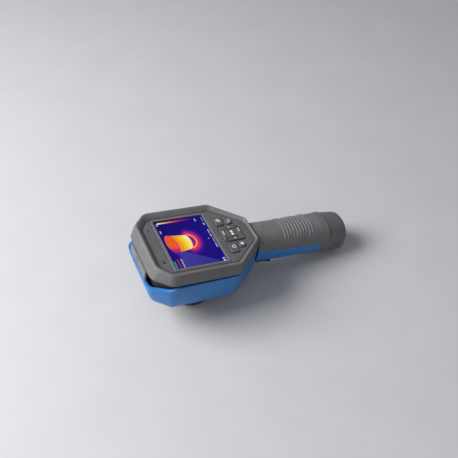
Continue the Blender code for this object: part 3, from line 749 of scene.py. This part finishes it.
def ring_arc(radius, width, start, end, center, steps=24):
    """An outline of an arc band, with angles in degrees."""
    turns = [math.radians(start + (end - start) * step / steps) for step in range(steps + 1)]
    return [(center[0] + r * math.cos(turn), center[1] + r * math.sin(turn))
            for r, order in ((radius, 1), (radius - width, -1)) for turn in turns[::order]]


def legend(name, node, shapes, body=None):
    """Painted marks that stand a hair proud of a key. Each shape is a list of outlines round the
    middle of a model node."""
    at = middle(node)
    plates = []
    for outlines in shapes:
        placed = [[(at.x + x, at.y + y) for x, y in outline] for outline in outlines]
        plates.append(plate(placed, KEY_TOP - 0.05, KEY_TOP + 0.07))
    keep(name, join(*plates), "key_rubber", body=body or node, look="legend")


def keypad():
    """Four keys, the navigation ring and its centre key, with their legends."""
    for node, corner in KEY_CORNERS.items():
        if node != "dpad_ring":
            key_cap(node, corner)
    navigation_ring()
    key_cap("center_key", 1.4, edge=0.6)
    legends()


def navigation_ring():
    """A square ring with a groove across each corner and a face that dips to the centre key."""
    low, high = span("dpad_ring")
    size, center = high - low, middle("dpad_ring")
    at = (center.x, center.y)
    inner_low, inner_high = span("center_key")
    bore = inner_high.x - inner_low.x + 1.0
    diagonal = Vector((size.x, size.y)).normalized()
    top = KEY_TOP
    rings = []

    def ring(width, depth, corner, z, groove):
        made = []
        for x, y in box_outline(width, depth, corner, at, 10):
            spoke = Vector((abs(x - at[0]), abs(y - at[1])))
            off = abs(spoke.cross(diagonal)) / 0.7
            made.append((x, y, z - groove * max(0.0, 1.0 - off ** 3)))
        rings.append(made)

    ring(size.x, size.y, 2.6, low.z, 0.0)
    ring(size.x, size.y, 2.6, top - 1.3, 0.0)
    for inset, drop, groove in ((0.0, 0.9, 0.5), (0.12, 0.45, 0.8), (0.35, 0.15, 1.0),
                                (0.8, 0.0, 1.1)):
        ring(size.x - 2.0 * inset, size.y - 2.0 * inset, 2.6 - 0.4 * inset, top - drop, groove)
    for part, drop, groove in ((0.35, 0.0, 1.1), (0.7, 0.04, 1.1), (0.9, 0.16, 1.0)):
        width = size.x - 1.6 + (bore - size.x + 1.6) * part
        depth = size.y - 1.6 + (bore - size.y + 1.6) * part
        ring(width, depth, 2.2 - 0.6 * part, top - drop, groove)
    ring(bore, bore, 1.5, top - 0.5, 0.7)
    ring(bore, bore, 1.5, low.z, 0.0)
    keep("navigation_ring", loft(rings, tube=True), "key_rubber", "dpad_ring", body="dpad")


def legends():
    """Generic marks: a ring, a dotted ring, a sun, a return arrow, and marks round the centre."""
    hub = (1.0, 0.8)
    legend("legend_ring", "key_left_upper", [[circle(2.2, hub, 32), circle(1.6, hub, 32)]])
    hub = (0.1, 0.6)
    legend("legend_dotted_ring", "key_right_upper",
           [[circle(2.1, hub, 32), circle(1.5, hub, 32)], [circle(0.7, hub, 20)],
            [box_outline(1.1, 1.8, 0.3, (2.0, -1.0), 3)]])
    hub = (0.3, 0.3)
    rays = [[circle(0.3, dot, 10)] for dot in circle(2.05, hub, 8)]
    legend("legend_sun", "key_left_lower", [[circle(1.3, hub, 32)]] + rays)
    head = [(-1.7, -0.3), (-0.7, -2.0), (0.2, -0.3)]
    legend("legend_return", "key_right_lower",
           [[ring_arc(1.9, 0.55, -120.0, 120.0, (0.2, 0.7))], [head]])
    marks = [[circle(0.75, dot, 20)] for dot in ((0.5, -8.0), (0.4, 8.9), (9.1, 1.4), (9.3, 4.3))]
    bars = ((-0.4, 1.1, 1.9, 0.3), (1.35, 0.55, 1.6, 0.2), (3.1, 1.1, 1.9, 0.3))
    marks += [[box_outline(*size, (-8.5, y), 3)] for y, *size in bars]
    legend("legend_arrows", "dpad_ring", marks, "dpad")
    blocks = ((-2.1, 2.4, 2.3, 0.4), (2.1, 2.4, 2.3, 0.4), (0.0, 0.9, 1.6, 0.2))
    legend("legend_center", "dpad_ring", [[box_outline(*size, (0.3, y), 3)] for y, *size in blocks],
           "center_key")


def light_sensor():
    at = middle("light_sensor")
    dome = [(0.0, 0.62), (0.5, 0.56), (0.9, 0.36), (1.1, 0.1), (1.35, 0.1), (1.4, 0.0), (1.4, -1.2),
            (0.0, -1.2)]
    keep("sensor_dome", turned(dome, at, 32), "window", "light_sensor")


PORTS = ("usb_port", "card_slot", "hdmi_port")


def middle_frame():
    """The black frame in the seam, with the connector openings in its end."""
    bm = plate([head_outline(WALL_FOOT, 4.8), head_outline(WALL_FOOT, 7.2)], -22.0, -8.2, 0.4)
    tools = []
    for node in PORTS:
        low, high = span(node)
        low.x, high.x = -60.0, -44.0
        tools.append(cutter(low, high, (0.0, 0.35, 0.35)))
    keep("seam_frame", carve(bm, *tools), "frame_black", "mid_frame")


def tongues():
    """The contact tongues inside the three connectors."""
    for node in PORTS:
        low, high = span(node)
        center = (low + high) / 2.0
        half = (high - low) / 2.0
        bar = soft_box((low.x + 0.8, center.y - half.y * 0.72, center.z - half.z * 0.22),
                       (high.x, center.y + half.y * 0.72, center.z + half.z * 0.22), 0.12)
        keep(node + "_tongue", bar, "frame_black")
        pins = []
        count = max(4, int(half.y * 1.6))
        face = center.z + half.z * 0.22
        for index in range(count):
            y = center.y + half.y * 1.2 * ((index + 0.5) / count - 0.5)
            pins.append(soft_box((low.x + 1.0, y - 0.18, face), (high.x, y + 0.18, face + 0.08)))
        keep(node + "_pins", join(*pins), "brass")


def interface_cover():
    """The rubber cover over the connectors: a rounded flap with five small ribs."""
    low, high = span("interface_cover")
    keep("cover_flap", soft_box(low, high, 0.7, 4), "grip_rubber", "interface_cover",
         body="interface_cover")
    ribs = [soft_box((low.x - 0.25, y - 0.35, low.z + 5.2),
                     (low.x + 0.25, y + 0.35, high.z - 0.8), 0.15)
            for y in (-3.0, -1.5, 0.0, 1.5, 3.0)]
    keep("cover_ribs", join(*ribs), "grip_rubber", body="interface_cover")


def shell_top(x):
    """Height of the blue shell's upper edge: it steps down round the connector bay."""
    if x > -27.0:
        return SEAM_BASE
    part = min((-27.0 - x) / 16.0, 1.0)
    return SEAM_BASE - 0.3 + (COVER_BASE - SEAM_BASE + 0.3) * part


def front_shell():
    """The blue front cover, drawn in towards the lens, with a rolled upper edge."""
    outside = [(7.9, SEAM_BASE, 0.0, 71.4), (7.8, -22.0, 0.15, 71.4), (7.4, -32.0, 0.42, 71.4),
               (6.4, -40.0, 0.68, 71.2), (4.2, -46.0, 0.86, 69.8), (0.8, -49.8, 0.95, 65.5),
               (-3.0, -51.0, 1.0, 60.0), (-5.0, -51.0, 1.0, 57.0)]
    inside = [(-5.0, -48.6, 1.0, 57.0), (0.0, -47.0, 0.95, 62.5), (2.6, -44.0, 0.86, 66.8),
              (4.0, -38.8, 0.68, 68.6), (4.9, -31.0, 0.42, 68.9), (5.3, -22.0, 0.15, 69.0),
              (5.4, SEAM_BASE, 0.0, 69.0)]
    lip = [(7.65, SEAM_BASE, 0.0, 71.15), (7.83, SEAM_BASE - 0.07, 0.0, 71.33),
           (7.9, SEAM_BASE - 0.3, 0.0, 71.4)]
    levels = lip + smooth_line(outside, 5)[1:] + smooth_line(inside, 3)
    rings = []
    for by, z, squeeze, tip in levels:
        ring = []
        for x, y in shell_outline(by, squeeze, tip):
            top = shell_top(x)
            # the wall above the turn is pressed down where the edge steps down
            part = max(0.0, (z + 32.0) / (SEAM_BASE + 32.0))
            ring.append((x, y, z + (top - SEAM_BASE) * part))
        rings.append(ring)
    keep("blue_shell", loft(rings, tube=True), "shell_blue", "front_shell")


# ---- the lens side

WINDOWS = ("camera_window", "lamp_lens", "laser_window")
SCREWS = ("plate_screw_1", "plate_screw_2", "plate_screw_3", "plate_screw_4")


def round_node(node):
    """Centre and radius of a round node that stands along Z."""
    low, high = span(node)
    return center_of(low, high), (high.x - low.x) / 2.0


def front_plate():
    low, high = span("front_plate")
    openings = [circle(20.85, (LENS_X, 0.0), 72)]
    for node in WINDOWS:
        center, radius = round_node(node)
        openings.append(circle(radius + 0.35, center, 32))
    for node in SCREWS:
        openings.append(circle(2.7, round_node(node)[0], 24))
    made = plate([shell_outline(-5.4, 1.0, 56.6)] + openings, low.z, high.z, 0.45)
    keep("lens_plate", made, "frame_black", "front_plate")
    for node in SCREWS:
        screw(node)


def screw(node):
    """A round head with a six-sided recess."""
    center, radius = round_node(node)
    low, high = span(node)
    recess = circle(1.15, center, 6)
    head = plate([circle(radius, center, 32), recess], low.z, low.z + 1.1, 0.22)
    base = turned([(0.0, high.z), (1.1, high.z), (1.1, low.z + 1.1), (radius - 0.2, low.z + 1.1),
                   (radius - 0.2, low.z + 0.85), (0.0, low.z + 0.85)], center, 24)
    keep(node + "_head", join(head, base), "metal", node)


def lens():
    """Barrel, rim, focus ring and the front germanium element."""
    at = (LENS_X, 0.0)
    barrel = [(20.5, -43.0), (20.5, -53.2), (20.1, -53.4), (20.1, -54.0), (20.5, -54.2),
              (20.5, -64.0), (17.5, -64.0), (17.5, -43.0)]
    keep("barrel", turned(barrel, at, 96), "frame_black", "lens_barrel")
    outer = rounded([(24.5, -64.4, 0.5), (24.5, LENS_FRONT, 0.9), (20.6, LENS_FRONT, 0.4),
                     (19.9, -69.2), (19.7, -68.5), (18.7, -68.2), (18.4, -67.4), (17.4, -67.1),
                     (16.9, -66.2), (16.2, -64.4)], 0.2, 4)
    keep("rim_ring", turned(outer, at, 96), "frame_black", "lens_rim")
    dome = [(0.0, -58.0), (17.1, -58.0), (17.1, -62.4)]
    dome += [(17.1 * math.cos(turn), -62.4 - 1.6 * math.sin(turn))
             for turn in (0.5 * math.pi * step / 12 for step in range(1, 12))]
    dome.append((0.0, -64.0))
    keep("front_element", turned(dome, at), "germanium", "germanium_lens")
    focus_ring()


def focus_ring():
    """A ring with a scalloped grip between two plain bands."""
    low, high = span("focus_ring")
    outer, flutes, per = 24.2, 36, 6
    # inset, distance from the end, and depth of the flutes
    half = [(3.3, 0.0, 0.0), (0.9, 0.0, 0.0), (0.5, 0.4, 0.0), (0.5, 1.2, 0.0), (0.2, 1.5, 0.3),
            (0.0, 2.0, 0.7)]
    rings = []
    for inset, from_end, depth in half + half[::-1]:
        z = high.z - from_end if len(rings) < len(half) else low.z + from_end
        ring = []
        for step in range(flutes * per):
            turn = 2.0 * math.pi * step / (flutes * per)
            scallop = abs(math.sin(math.pi * step / per)) ** 0.6
            r = outer - inset - depth * (1.0 - scallop)
            ring.append((LENS_X + r * math.cos(turn), r * math.sin(turn), z))
        rings.append(ring)
    keep("focus_grip", loft(rings, tube=True), "frame_black", "focus_ring", body="focus_ring")


def windows():
    """The three small windows: a rolled rim round a slightly domed glass."""
    for node in WINDOWS:
        center, radius = round_node(node)
        low, high = span(node)
        disc = [(0.0, high.z), (radius, high.z), (radius, low.z + 0.5)]
        disc += [(radius - 0.35 + 0.35 * math.cos(turn), low.z + 0.5 - 0.35 * math.sin(turn))
                 for turn in (0.25 * math.pi, 0.5 * math.pi)]
        disc += [(radius - 0.9, low.z + 0.15), (radius - 1.0, low.z + 0.45), (0.0, low.z + 0.25)]
        keep(node + "_glass", turned(disc, center, 40), "window", node)


# ---- the handle

def section_point(station, turn, inset, power=HANDLE_POWER):
    """A point (y, z) on a rounded section of the handle."""
    half_width, half_height, middle_z = station
    c, s = math.cos(turn), math.sin(turn)
    y = (half_width - inset) * math.copysign(abs(c) ** (2.0 / power), c)
    z = (half_height - inset) * math.copysign(abs(s) ** (2.0 / power), s)
    return y, middle_z + z


def split_turn(station, z, inset):
    """The angle at which a section meets the height z."""
    part = (z - station[2]) / (station[1] - inset)
    return math.asin(math.copysign(min(abs(part), 1.0) ** (HANDLE_POWER / 2.0), part))


def split_height(x):
    return SPLIT_Z + SPLIT_SLOPE * (x - SPLIT_X)


def rib_lift(x, y):
    """How far the ribs raise the grip's surface."""
    lift = 0.0
    for index, is_long in enumerate(RIB_LONG):
        reach = 17.6 if is_long else 14.6
        fade = min(max((reach - abs(y)) / 2.4, 0.0), 1.0)
        bow = 0.9 * (y / 17.0) ** 2
        off = (x - (RIB_FIRST + RIB_PITCH * index - bow)) / RIB_WIDTH
        lift += RIB_HEIGHT * fade * math.exp(-off * off * 1.6)
    return lift


def half_tube(xs, upper, lift=None, around=56):
    """One half of the handle's tube, above or below its parting plane."""
    rings = []
    for x in xs:
        station = between(HANDLE, x)
        tuck = 0.35 * max(0.0, 1.0 - (x - xs[0]) / 0.5)
        z = split_height(x) + (0.15 if upper else -0.15)
        ring = []
        for wall, outside in ((tuck, True), (HANDLE_WALL, False)):
            start = split_turn(station, z, wall)
            first, sweep = (start, math.pi - 2.0 * start) if upper else (math.pi - start,
                                                                         math.pi + 2.0 * start)
            points = []
            for j in range(around + 1):
                nip = 0.3 if outside and j in (0, around) else 0.0
                y, height = section_point(station, first + sweep * j / around, wall + nip)
                if lift and outside:
                    away = Vector((y, height - station[2])).normalized() * lift(x, y)
                    y, height = y + away.x, height + away.y
                points.append((x, y, height))
            ring += points if outside else points[::-1]
        rings.append(ring)
    return loft(rings)


def grip():
    """The ribbed rubber half of the handle."""
    low, high = span("handle_grip")
    first, last = RIB_FIRST - 3.0, RIB_FIRST + RIB_PITCH * len(RIB_LONG)
    xs = stretch_of(low.x, first, 1.0) + stretch_of(first, last, 0.16)
    xs += stretch_of(last, high.x, 1.0) + [high.x + 0.25]
    bm = half_tube(xs, True, rib_lift)
    plug = middle("screw_plug")
    tool = turned([(0.0, 9.0), (2.95, 9.0), (2.95, 1.5), (0.0, 1.5)], plug, 40)
    keep("ribbed_grip", carve(bm, tool), "grip_rubber", "handle_grip")
    cap = [(0.0, 1.75), (0.7, 1.77), (1.35, 1.92), (1.65, 2.12), (2.3, 2.14), (2.7, 2.1),
           (2.86, 1.95), (2.86, 1.6), (0.0, 1.6)]
    keep("plug_cap", turned(cap, plug, 32), "grip_rubber", "screw_plug")


def front_half():
    """The blue half of the handle, with its trigger slot and tripod recess."""
    low, high = span("handle_front")
    bm = half_tube(stretch_of(low.x, high.x, 1.0) + [high.x + 0.25], False)
    pad_low, pad_high = span("tripod_plate")
    slot = soft_box((75.6, -4.8, -60.0), (102.8, 4.8, -30.0))
    pad_low.z, pad_high.z = -60.0, -30.0
    recess = cutter(pad_low, pad_high, (0.4, 0.4, 0.0))
    keep("blue_handle", carve(bm, slot, recess), "shell_blue", "handle_front")


def section_ring(x, station, inset, around=72, power=HANDLE_POWER):
    turns = (2.0 * math.pi * j / around for j in range(around))
    return [(x, *section_point(station, turn, inset, power)) for turn in turns]


def collar(edge=0.6, wall=2.5, count=10):
    """The band at the end of the handle, with its far end rolled."""
    first, last = COLLAR[0][0], COLLAR[-1][0]
    xs = [first, first + edge * 0.3, first + edge]
    xs += [first + edge + (last - first - 2.0 * edge) * step / count for step in range(1, count)]
    xs += [last - edge, last - edge * 0.3, last]
    rings = []
    for x in xs:
        roll = max(0.0, 1.0 - (last - x) / edge)
        tuck = edge * (1.0 - math.sqrt(max(0.0, 1.0 - roll ** 2)))
        rings.append(section_ring(x, between(COLLAR, x), tuck))
    rings += [section_ring(x, between(COLLAR, x), wall) for x in reversed(xs)]
    keep("end_collar", loft(rings, tube=True), "housing_grey", "handle_collar")


def battery():
    """The cap and its two latches, and the battery itself."""
    line = smooth_line(CAP, 6)
    bm = loft([section_ring(x, station, 0.0 if index else 0.3)
               for index, (x, *station) in enumerate(line)])
    tools, pads = [], []
    for side_name, side in (("right", 1.0), ("left", -1.0)):
        node = "latch_button_" + side_name
        low, high = span(node)
        button = soft_box(low, high, 0.5)
        outer = high.y if side > 0.0 else low.y
        y0, y1 = sorted((outer - side * 0.15, outer + side * 0.22))
        ridges = [soft_box((x - 0.35, y0, low.z + 1.2), (x + 0.35, y1, high.z - 1.2), 0.1)
                  for x in (low.x + 2.3 + 1.8 * index for index in range(4))]
        pads.append((node, join(button, *ridges), "latch_" + side_name))
        low.y, high.y = sorted((side * 16.4, side * 26.0))
        tools.append(cutter(low, high, (0.4, 0.0, 0.4)))
    keep("end_cap", carve(bm, *tools), "housing_grey", "battery_cap", body="battery")
    for node, pad, body in pads:
        keep(node + "_pad", pad, "frame_black", node, body=body, look="grip_rubber")
    low, high = span("battery_body")
    station = ((high.y - low.y) / 2.0, (high.z - low.z) / 2.0, (low.z + high.z) / 2.0)
    xs = [(low.x, 0.8), (low.x + 0.25, 0.3), (low.x + 0.8, 0.0), (high.x, 0.0)]
    case = loft([section_ring(x, station, inset, power=2.6) for x, inset in xs])
    keep("battery_case", case, "frame_black", "battery_body", body="battery")


def trigger():
    """The trigger, with rolled edges and a hole for its pin."""
    outline = [(76.6, -31.7), (77.6, -40.7), (81.5, -45.2), (87.0, -45.2), (93.0, -45.6),
               (98.2, -47.6), (100.4, -45.8), (100.4, -39.6), (97.0, -37.0), (90.0, -35.8),
               (84.5, -29.7), (80.0, -26.4), (76.8, -27.7)]
    pin = middle("trigger_pin")
    low, high = span("trigger")
    half = (high.y - low.y) / 2.0
    outlines = [rounded(outline, 2.0, 8), circle(1.9, (pin.x, pin.z), 24)]
    made = plate(outlines, -half, half, 0.9, SIDE, segments=4)
    keep("finger_trigger", made, "frame_black", "trigger", body="trigger")


def tripod_plate():
    """The metal plate with a threaded hole."""
    low, high = span("tripod_plate")
    center = center_of(low, high)
    made = plate([box_outline(high.x - low.x, high.y - low.y, 1.5, center), circle(3.1, center)],
                 low.z, high.z, 0.3)
    pitch = 1.27
    thread = []
    z = low.z + 0.35
    while z < high.z - 0.4:
        thread += [(3.1, z), (2.75, z + pitch / 2.0)]
        z += pitch
    walls = thread + [(3.1, high.z - 0.35), (3.3, high.z - 0.35), (3.3, low.z + 0.35)]
    keep("tripod_socket", join(made, turned(walls, center, 40)), "metal", "tripod_plate")


# ---- what stays as the model has it

def finish_nodes():
    """Give every model node that still shows its own material."""
    slots = {entry["node"]: entry["material_slot"] for entry in frame["record"]["subparts"]}
    for name, node in frame["nodes"].items():
        node.data.materials.clear()
        node.data.materials.append(LOOKS[slots[name]])


# ---- camera, floor and lights

def studio():
    """A pale floor under soft light: a large key on the left, a weak fill and a low side light."""
    floor_look, tree, shader = start_material("pale floor")
    spots = noise(tree, 60.0, 3.0)
    color = mix_colors(spots, (0.42, 0.42, 0.43), (0.47, 0.47, 0.48))
    fill(shader, {"Base Color": color, "Roughness": 0.7})
    bm = bmesh.new()
    bmesh.ops.create_grid(bm, x_segments=1, y_segments=1, size=4.0)
    floor = link("floor", to_mesh(bm, "floor"))
    floor.data.materials.append(floor_look)

    world = bpy.data.worlds.new("studio")
    bpy.context.scene.world = world
    world.use_nodes = True
    fill(world.node_tree.nodes["Background"], {"Color": (0.9, 0.93, 1.0, 1.0), "Strength": 0.3})
    for name, place, size, power in LIGHTS:
        light = bpy.data.lights.new(name, "AREA")
        light.size = size
        light.energy = power
        made = link(name, light)
        made.location = place
        made.rotation_euler = (Vector(place) * -1.0).to_track_quat("-Z", "Y").to_euler()


# name, place in metres, size in metres, power in watts
LIGHTS = [
    ("key", (-0.95, 0.3, 1.0), 0.9, 31.0),
    ("fill", (-0.35, -1.0, 0.9), 1.0, 2.0),
    ("side", (-0.9, -0.12, 0.09), 0.12, 1.6),
]

# The view, in the camera's own frame: where it stands, its right, and the way it looks
VIEW_PLACE = (-233.94, -458.3, 449.51)
VIEW_RIGHT = (0.90465, -0.39766, 0.15325)
VIEW_AHEAD = (0.39815, 0.66042, -0.63665)
VIEW_LENS = 53.45


def view():
    lens_data = bpy.data.cameras.new("view")
    lens_data.lens = VIEW_LENS
    lens_data.sensor_width = 36.0
    lens_data.clip_start = 0.01
    made = link("view", lens_data)
    ahead = Vector(VIEW_AHEAD).normalized()
    right = Vector(VIEW_RIGHT)
    right = (right - ahead * right.dot(ahead)).normalized()
    up = right.cross(ahead)
    axes = Matrix((right, up, -ahead)).transposed().to_4x4()
    made.matrix_world = Matrix.Translation(DEVICE @ Vector(VIEW_PLACE)) @ TURN @ axes
    bpy.context.scene.camera = made
    bpy.context.scene.view_settings.view_transform = "Standard"


for build in (finish_nodes, rear_housing, face_panel, display, keypad, light_sensor, middle_frame,
              tongues, interface_cover, front_shell, front_plate, lens, windows, grip, front_half,
              collar, battery, trigger, tripod_plate, studio, view):
    build()
